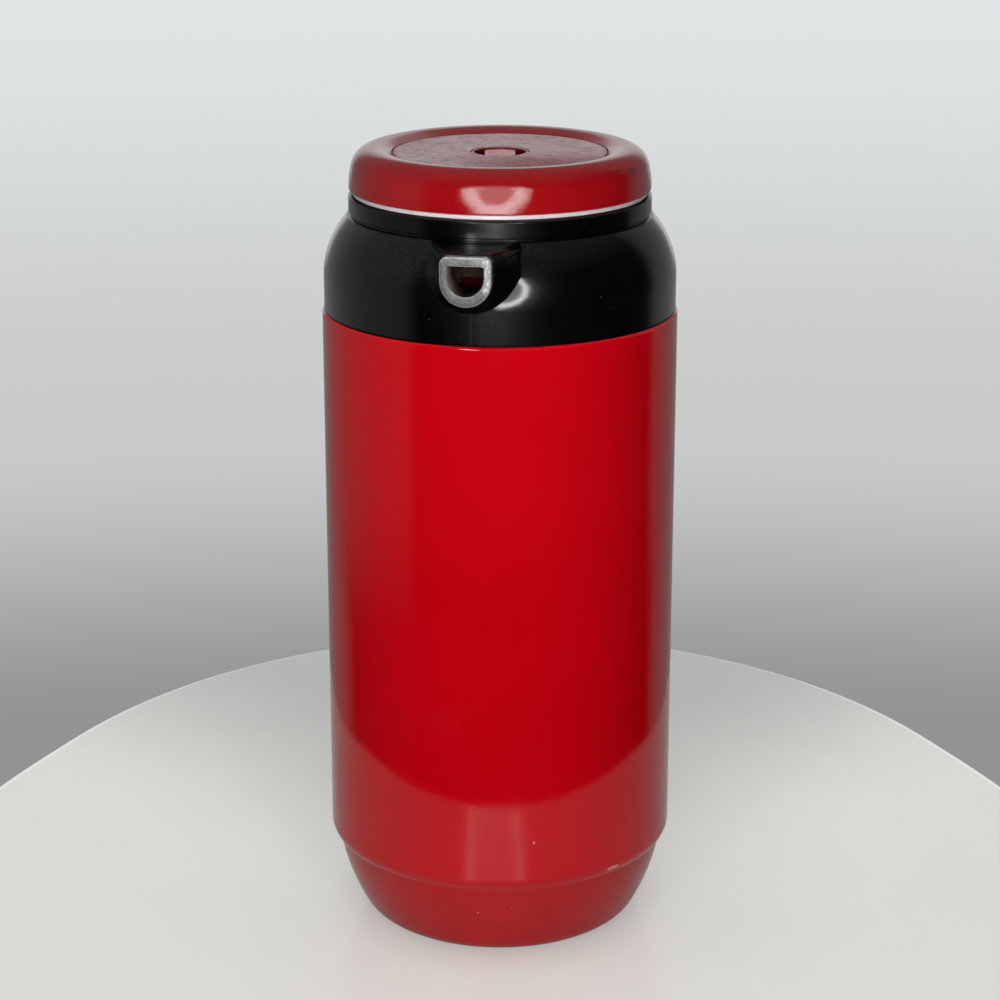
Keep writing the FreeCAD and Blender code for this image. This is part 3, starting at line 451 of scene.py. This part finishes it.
def carrier_white():
    material, tree, shader = new_finish("carrier_white_satin", IOR=1.49)
    height = place_xyz(tree)["Z"]
    patches = shared(tree, soft_patches, Scale=90.0, Low=0.35, High=0.7)
    grime = shared(tree, dust_specks, Scale=900.0, Cover=0.06, Size=0.4)
    # Painted shadow: a near-black band on the carrier just under the flange, where the flange shades the gap
    # above the rim
    groove_shadow = times(tree, spread(tree, height, DECK_TOP + 0.0002, DECK_TOP - 0.0001),
                   calc(tree, "GREATER_THAN", from_axis(tree), 0.0492),
                   calc(tree, "GREATER_THAN", height, DECK_TOP - 0.0026))
    plastic = mix_colour(tree, patches, tone(238, 228, 227), tone(230, 219, 217))
    set_colour(tree, shader, plastic, (
        (grime, 0.5, (170, 150, 140)),
        (groove_shadow, 0.95, (16, 14, 14)),
    ))
    set_roughness(tree, shader, patches, smooth=0.3, rough=0.45)
    raise_surface(tree, shader, patches, strength=0.05, distance=0.0004)
    return material


def nose_frosted():
    material, tree, shader = new_finish("nose_frosted_clear", IOR=1.49, Transmission_Weight=0.3)
    across, _, height = place_xyz(tree)
    frost = shared(tree, soft_patches, Scale=2600.0, Low=0.36, High=0.66)
    cloud = shared(tree, soft_patches, Scale=420.0, Low=0.4, High=0.64)
    glint = shared(tree, soft_patches, Scale=950.0, Low=0.44, High=0.6)
    # Painted highlights and glints: the clear plastic is made near white towards its lit upper right, along
    # its rounded edges and down its right edge
    outward = facing_xyz(tree)["Y"]
    edge_highlight = times(tree, spread(tree, outward, -0.95, -0.78), spread(tree, outward, -0.1, -0.4),
                       spread(tree, glint, 0.0, 1.0, 0.5, 1.0))
    upper_right = calc(tree, "ADD", across, calc(tree, "SUBTRACT", height, SPOUT_MIDDLE))
    lit_side = spread(tree, upper_right, -0.006, 0.008)
    front_highlight = times(tree, most(tree, cloud, glint), spread(tree, lit_side, 0.2, 1.0, 0.05, 0.3),
                 spread(tree, calc(tree, "ABSOLUTE", across), 0.001, 0.004, 0.3, 1.0))
    right_edge_highlight = times(tree, spread(tree, across, 0.0052, 0.0066), spread(tree, height, 0.2525, 0.2560),
                       spread(tree, glint, 0.0, 1.0, 0.45, 1.0))
    plastic = mix_colour(tree, frost, tone(88, 91, 91), tone(126, 129, 130))
    light = spread(tree, lit_side, 0.0, 1.0, 0.5, 1.0)
    set_colour(tree, shader, plastic, (
        (most(tree, front_highlight, right_edge_highlight, edge_highlight), light, (250, 252, 252)),
    ))
    set_roughness(tree, shader, frost, smooth=0.08, rough=0.25)
    raise_surface(tree, shader, frost, strength=0.15, distance=0.0003)
    return material


def spout_bore():
    material, tree, shader = new_finish("spout_bore_stain_and_shade", IOR=1.49, Specular_IOR_Level=0.1)
    stain = shared(tree, soft_patches, Scale=300.0, Low=0.35, High=0.7)
    roof = mix_colour(tree, stain, tone(205, 182, 168), tone(222, 200, 186))
    # Painted shade: the bore is near black towards its floor; its roof keeps the stained tone
    up = spread(tree, place_xyz(tree)["Z"], 0.2520, 0.2580)
    set_colour(tree, shader, mix_colour(tree, up, tone(14, 11, 10), roof))
    set_roughness(tree, shader, stain, smooth=0.5, rough=0.7)
    return material


def spout_plug():
    material, tree, shader = new_finish("spout_plug_rubber_shaded", IOR=1.45, Specular_IOR_Level=0.02)
    across, _, height = place_xyz(tree)
    patches = shared(tree, soft_patches, Scale=260.0, Low=0.35, High=0.7)
    valve = times(tree, spread(tree, calc(tree, "ABSOLUTE", across), 0.0043, 0.0040),
                  spread(tree, height, 0.2566, 0.2563))
    # The rubber's own black and red, darkened further by painted shade for the dim inside of the spout
    black = mix_colour(tree, patches, tone(40, 33, 28), tone(48, 40, 35))
    set_colour(tree, shader, black, ((valve, 1.0, (34, 2, 1)),))
    set_roughness(tree, shader, patches, smooth=0.4, rough=0.6)
    raise_surface(tree, shader, patches, strength=0.05, distance=0.0004)
    return material


def liner_silvered():
    material, tree, shader = new_finish("liner_silvered_glass", Metallic=1.0)
    patches = shared(tree, soft_patches, Scale=35.0, Low=0.35, High=0.7)
    set_colour(tree, shader, mix_colour(tree, patches, tone(226, 227, 230), tone(208, 206, 204)))
    set_roughness(tree, shader, patches, smooth=0.04, rough=0.12)
    return material


def rubber(name, dark, light, scale):
    material, tree, shader = new_finish(name, IOR=1.45)
    patches = shared(tree, soft_patches, Scale=scale, Low=0.35, High=0.7)
    bloom = shared(tree, dust_specks, Scale=1200.0, Cover=0.1, Size=0.4)
    set_colour(tree, shader, mix_colour(tree, patches, dark, light), ((bloom, 0.2, (150, 142, 136)),))
    set_roughness(tree, shader, patches, smooth=0.55, rough=0.75)
    raise_surface(tree, shader, patches, strength=0.08, distance=0.0004)
    return material


def bright_steel():
    material, tree, shader = new_finish("steel_drawn", Metallic=1.0)
    patches = shared(tree, soft_patches, Scale=120.0, Low=0.35, High=0.7)
    scratches = shared(tree, hair_scratches, Cover=0.8)
    set_colour(tree, shader, mix_colour(tree, patches, tone(198, 198, 200), tone(176, 174, 172)))
    set_roughness(tree, shader, scratches, smooth=0.22, rough=0.45)
    raise_surface(tree, shader, scratches, strength=0.05, distance=0.0003)
    return material


FINISHES = {
    "red_enamel": red_enamel(),
    "red_base": base_red(),
    "red_ring": ring_red(),
    "plate_red": plate_dusty(),
    "dial_plastic": dial_dusty(),
    "black_plastic": collar_black(),
    "white_plastic": carrier_white(),
    "clear_plastic": nose_frosted(),
    "silvered_glass": liner_silvered(),
    "dark_rubber": rubber("gasket_dark_rubber", tone(34, 33, 33), tone(52, 50, 50), 120.0),
    "red_rubber": rubber("gasket_red_rubber", tone(70, 12, 11), tone(88, 20, 17), 140.0),
    "pale_rubber": rubber("bellows_pale_rubber", tone(196, 186, 172), tone(214, 205, 192), 90.0),
    "steel": bright_steel(),
}
OWN_FINISH = {"spout_gasket": spout_plug()}
slot_of = {piece["node"]: piece["material_slot"] for piece in frame["record"]["subparts"]}
for name, node in nodes.items():
    for index in range(len(node.material_slots)):
        node.material_slots[index].material = OWN_FINISH.get(name, FINISHES[slot_of[name]])


# Pieces made here
def new_piece(name, points, faces, slot, body):
    mesh = bpy.data.meshes.new(name)
    mesh.from_pydata(points, [], faces)
    mesh.polygons.foreach_set("use_smooth", [True] * len(mesh.polygons))
    mesh.update()
    mesh.materials.append(FINISHES[slot])
    piece = bpy.data.objects.new(name, mesh)
    scene.collection.objects.link(piece)
    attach(piece, body)
    return piece


def lathe(profile_mm, steps=160):
    """Points and faces of a closed profile of (radius, height) turned once round the axis."""
    count = len(profile_mm)
    points = []
    for step in range(steps):
        angle = 2 * math.pi * step / steps
        points += [(r * MM * math.cos(angle), r * MM * math.sin(angle), h * MM) for r, h in profile_mm]
    faces = []
    for step in range(steps):
        here, there = step * count, (step + 1) % steps * count
        for i in range(count):
            j = (i + 1) % count
            faces.append((here + i, there + i, there + j, here + j))
    return points, faces


def concertina(foot_mm, top_mm, inner_mm, outer_mm, folds, wall_mm, steps_per_fold=12):
    """The profile of a rubber bellows: rounded folds from the foot to the top, then back down inside."""
    steps = folds * steps_per_fold
    middle, swing = (inner_mm + outer_mm) / 2, (outer_mm - inner_mm) / 2
    outside = []
    for step in range(steps + 1):
        share = step / steps
        wave = math.sin(2 * math.pi * folds * share - math.pi / 2)
        outside.append((middle + swing * wave, foot_mm + (top_mm - foot_mm) * share))
    return outside + [(r - wall_mm, h) for r, h in reversed(outside)]


def coil(circle_mm, wire_mm, foot_mm, top_mm, turns, steps=56, sides=12):
    """Points and faces of a round wire, given by its radius, wound on a circle, with its ends closed."""
    points, faces = [], []
    total = int(turns * steps)
    for step in range(total + 1):
        share = step / total
        turn = 2 * math.pi * turns * share
        height = foot_mm + (top_mm - foot_mm) * share
        for side in range(sides):
            round_wire = 2 * math.pi * side / sides
            reach = circle_mm + wire_mm * math.cos(round_wire)
            points.append((reach * MM * math.cos(turn), reach * MM * math.sin(turn),
                           (height + wire_mm * math.sin(round_wire)) * MM))
    for step in range(total):
        here, there = step * sides, (step + 1) * sides
        for side in range(sides):
            after = (side + 1) % sides
            faces.append((here + side, here + after, there + after, there + side))
    faces.append(tuple(reversed(range(sides))))
    faces.append(tuple(range(total * sides, (total + 1) * sides)))
    return points, faces


# Steps along the spout's outline, and the angles of a rounded corner or edge
SIDE_STEPS, CORNER_STEPS, TOP_STEPS, ROUND_STEPS = 5, 8, 4, 32
QUARTER = [math.radians(90 * k / CORNER_STEPS) for k in range(CORNER_STEPS + 1)]


def dee_outline(half_mm, foot_mm, top_mm, corner_mm):
    """Points (x, z) of the spout's outline: half round below, straight sides, flat top with round corners."""
    centre = foot_mm + half_mm
    shoulder = top_mm - corner_mm
    flat = half_mm - corner_mm
    right = [(half_mm, centre + (shoulder - centre) * k / SIDE_STEPS) for k in range(SIDE_STEPS)]
    right += [(flat + corner_mm * math.cos(t), shoulder + corner_mm * math.sin(t)) for t in QUARTER]
    top = [(flat * (1 - k / TOP_STEPS), top_mm) for k in range(1, TOP_STEPS)]
    left = [(-x, z) for x, z in reversed(right + top)]
    lower_half = [math.radians(180 + 180 * k / ROUND_STEPS) for k in range(1, ROUND_STEPS)]
    below = [(half_mm * math.cos(t), centre + half_mm * math.sin(t)) for t in lower_half]
    return right + top + [(0.0, top_mm)] + left + below


def loft(rings):
    """Points and faces of a closed skin through rings of equal count, the last joined to the first."""
    count = len(rings[0])
    points = [point for ring in rings for point in ring]
    faces = []
    for step in range(len(rings)):
        here, there = step * count, (step + 1) % len(rings) * count
        for i in range(count):
            j = (i + 1) % count
            faces.append((here + i, here + j, there + j, there + i))
    return points, faces


def rounded_nose():
    """Spout nose: a stub that plugs into the beak, and a flange whose edges are rounded inside and out.
    Gives points, faces and the range of the bore's faces."""
    low, high = ([value / MM for value in corner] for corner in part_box("spout_nose"))
    half, front, root = high[0], low[1], high[1]
    flange, brow, step, wall, corner = 3.9, 1.9, 1.2, 1.3, 2.7
    outer_round, inner_round, chamfer, crease, least_corner = 1.1, 0.8, 0.3, 0.1, 0.15
    rings = []

    def ring(size, inset, along):
        """One outline: the flange's, made smaller by the size of the stub or the bore, then set in."""
        narrow, sunk, raised, tight = size
        outline = dee_outline(half - narrow - inset, low[2] + raised + inset, high[2] - sunk - inset,
                              max(corner - tight - inset, least_corner))
        rings.append([(x * MM, along * MM, z * MM) for x, z in outline])

    # How much narrower, lower at the top, higher at the foot and tighter in the corners than the flange
    flange_size = (0.0, 0.0, 0.0, 0.0)
    stub_size = (step, brow, 2 * step, 1.3)
    bore_size = (step + wall, brow + wall, 2 * step + wall, 1.9)
    ring(stub_size, 0.0, root)
    ring(stub_size, 0.0, front + flange + crease)
    ring(stub_size, 0.0, front + flange)
    ring(flange_size, chamfer, front + flange)
    ring(flange_size, 0.0, front + flange - chamfer)
    for turn in QUARTER:
        ring(flange_size, outer_round * (1 - math.cos(turn)), front + outer_round * (1 - math.sin(turn)))
    for turn in QUARTER:
        ring(bore_size, -inner_round * (1 - math.sin(turn)), front + inner_round * (1 - math.cos(turn)))
    ring(bore_size, 0.0, root)
    bore_faces = len(rings[0])
    points, faces = loft(rings)
    return points, faces, range(len(faces) - 2 * bore_faces, len(faces) - bore_faces)


points, faces, bore = rounded_nose()
nose = new_piece("spout_nose_rounded", points, faces, "clear_plastic", "pot")
nose.data.materials.append(spout_bore())
for index in bore:
    nose.data.polygons[index].material_index = 1
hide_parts("spout_nose")

CUP_FLOOR_MM = 262.5
BELLOWS_FOOT_MM = CUP_FLOOR_MM + 1.0
BELLOWS_TOP_MM = 280.7
points, faces = lathe(concertina(BELLOWS_FOOT_MM, BELLOWS_TOP_MM, inner_mm=28.0, outer_mm=34.4,
                                 folds=4, wall_mm=0.8))
bellows = new_piece("bellows_folds", points, faces, "pale_rubber", "pump_unit")
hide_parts("bellows")
height = BELLOWS_TOP_MM - CUP_FLOOR_MM
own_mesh(bellows)

SPRING_TOP_MM = 278.4
WIRE_MM = 0.6
points, faces = coil(22.6, WIRE_MM, CUP_FLOOR_MM + WIRE_MM, SPRING_TOP_MM - WIRE_MM, turns=3.0)
spring = new_piece("return_spring_coil", points, faces, "steel", "pump_unit")
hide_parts("return_spring")
height = SPRING_TOP_MM - CUP_FLOOR_MM
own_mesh(spring)

# Camera: in front, 9 degrees round to the right of the spout, looking down
TURN = math.radians(9.0)
REACH = 0.933
EYE_HEIGHT = 0.4485
PITCH = math.radians(17.22)
toward_camera = Vector((math.sin(TURN), -math.cos(TURN), 0.0))
camera_right = Vector((math.cos(TURN), math.sin(TURN), 0.0))
lens = bpy.data.cameras.new("front_lens")
lens.sensor_width = 36.0
lens.lens = 95.2
camera = bpy.data.objects.new("front_camera", lens)
scene.collection.objects.link(camera)
camera.location = toward_camera * REACH + Vector((0, 0, EYE_HEIGHT))
camera.rotation_euler = (math.pi / 2 - PITCH, 0, TURN)
scene.camera = camera


# Table top, room and lights
def table_white():
    """White top that glows a little to the camera and in reflections, more towards its front and sides."""
    material, tree, shader = new_finish("table_white", IOR=1.65, Emission_Color=tone(250, 250, 246))
    patches = shared(tree, soft_patches, Scale=14.0, Low=0.3, High=0.7)
    set_colour(tree, shader, mix_colour(tree, patches, tone(190, 190, 186), tone(186, 186, 182)))
    set_roughness(tree, shader, patches, smooth=0.2, rough=0.24)
    across, along, _ = place_xyz(tree)
    to_side = times(tree, calc(tree, "ABSOLUTE", across), 0.81)
    to_front = times(tree, along, -1.04)
    glow = spread(tree, calc(tree, "ADD", to_side, to_front), -0.10, 0.117, 0.12, 0.36)
    path = put(tree, "LightPath").outputs
    seen = most(tree, path["Is Camera Ray"], times(tree, path["Is Glossy Ray"], 0.35))
    feed(tree, shader.inputs["Emission Strength"], times(tree, seen, glow))
    return material


def eased(share):
    share = min(max(share, 0.0), 1.0)
    return share * share * (3 - 2 * share)


# The top's rounded edge is a profile, and its outline an oval that swells at the sides and draws in behind
TABLE_MM = 240.0
TABLE_EDGE = [(0.0, -0.2), (TABLE_MM - 6.0, -0.2), (TABLE_MM - 2.4, -1.3), (TABLE_MM - 0.6, -4.0),
              (TABLE_MM, -8.0), (TABLE_MM - 2.0, -22.0), (0.0, -22.0)]
FRONT_SHARE, SIDE_SWELL, BACK_DRAW = 1.04, 0.07, 0.11
SIDE_DEGREES, BACK_DEGREES = 72, 46
HALF_WIDTH, HALF_DEPTH, SET_BACK = 0.216, 0.25, 0.045

points, faces = lathe(TABLE_EDGE, 240)
for index, (across, along, height) in enumerate(points):
    turn = math.degrees(math.atan2(abs(across), -along))
    swell = SIDE_SWELL * eased(turn / SIDE_DEGREES)
    bulge = FRONT_SHARE + swell - BACK_DRAW * eased((turn - SIDE_DEGREES) / BACK_DEGREES)
    points[index] = (across * bulge, along * bulge, height)
table_mesh = bpy.data.meshes.new("table_top")
table_mesh.from_pydata(points, [], faces)
table_mesh.materials.append(table_white())
table = bpy.data.objects.new("table_top", table_mesh)
scene.collection.objects.link(table)
table.location = -toward_camera * SET_BACK
table.rotation_euler = (0, 0, TURN)
table.scale = (HALF_WIDTH / (TABLE_MM * MM), HALF_DEPTH / (TABLE_MM * MM), 1.0)

ROOM_TONE = (0.98, 1.0, 1.0, 1.0)


def build_room():
    """Pale wall for the camera. For the gloss, a room that is pale left and behind, and dark in front."""
    world = bpy.data.worlds.new("room")
    scene.world = world
    world.use_nodes = True
    tree = world.node_tree
    tree.nodes.clear()
    way = put(tree, "TexCoord").outputs["Generated"]
    height = put(tree, "SeparateXYZ", Vector=way).outputs["Z"]
    lean = vector_calc(tree, "DOT_PRODUCT", way, toward_camera + camera_right * 0.531)["Value"]
    front = vector_calc(tree, "DOT_PRODUCT", way, toward_camera)["Value"]

    # What the gloss reflects
    pale_side = spread(tree, lean, 0.18, -0.08, 0.012, 0.25)
    above_floor = most(tree, spread(tree, height, -0.35, -0.29, 0.08, 1.0),
                       spread(tree, front, -0.3, -0.62))
    far_wall = times(tree, spread(tree, front, -0.86, -0.95, 0.0, 0.8),
                     spread(tree, height, -0.24, -0.1), spread(tree, height, 0.6, 0.3))
    ceiling = spread(tree, height, 0.35, 0.9, 0.0, 0.17)
    mirrored = most(tree, times(tree, pale_side, above_floor), far_wall, ceiling)
    room = put(tree, "Background", Color=ROOM_TONE, Strength=mirrored).outputs[0]

    # What lights the dull surfaces
    side_glow = spread(tree, lean, 0.1, -0.6, 0.0, 0.07)
    top_glow = spread(tree, height, 0.78, 0.95, 0.0, 2.1)
    fill = put(tree, "Background", Color=ROOM_TONE, Strength=most(tree, side_glow, top_glow)).outputs[0]

    # What the camera sees
    foot_of_wall = spread(tree, height, -0.375, -0.265)
    low_wall = mix_colour(tree, foot_of_wall, tone(146, 148, 146), tone(201, 203, 202))
    wall_tone = mix_colour(tree, spread(tree, height, -0.265, -0.10), low_wall, tone(225, 229, 230))
    wall = put(tree, "Background", Color=wall_tone, Strength=1.0).outputs[0]

    path = put(tree, "LightPath").outputs
    lit = put_row(tree, "MixShader", None, (path["Is Diffuse Ray"], room, fill)).outputs[0]
    both = put_row(tree, "MixShader", None, (path["Is Camera Ray"], lit, wall)).outputs[0]
    put(tree, "OutputWorld", Surface=both)


build_room()

LAMP_SPREAD = math.radians(90.0)


def lamp(name, spot, aim, size, power):
    light = bpy.data.lights.new(name, "AREA")
    light.shape = "DISK"
    light.size = size
    light.energy = power
    light.spread = LAMP_SPREAD
    made = bpy.data.objects.new(name, light)
    scene.collection.objects.link(made)
    made.location = spot
    made.rotation_euler = (spot - aim).to_track_quat("Z", "Y").to_euler()
    made.visible_camera = False


def round_lamp():
    """A round soft lamp about the camera's line of sight, brighter round its lower edge."""
    aim = Vector((0, 0, 0.29))
    centre = toward_camera * 0.75 - camera_right * 0.045 + Vector((0, 0, 0.445))
    reach, power = 0.264, 0.46
    discs, disc_power = 19, 0.045
    first_degrees, arc_degrees = 148, 244
    lamp("front_lamp", centre, aim, 2 * reach, power)
    for disc in range(discs):
        turn = math.radians(first_degrees + arc_degrees * disc / (discs - 1))
        spot = centre + camera_right * reach * math.cos(turn) + Vector((0, 0, reach * math.sin(turn)))
        lamp("front_lamp_edge_%02d" % disc, spot, aim, reach / 4, disc_power)


round_lamp()

scene.view_settings.view_transform = "Standard"
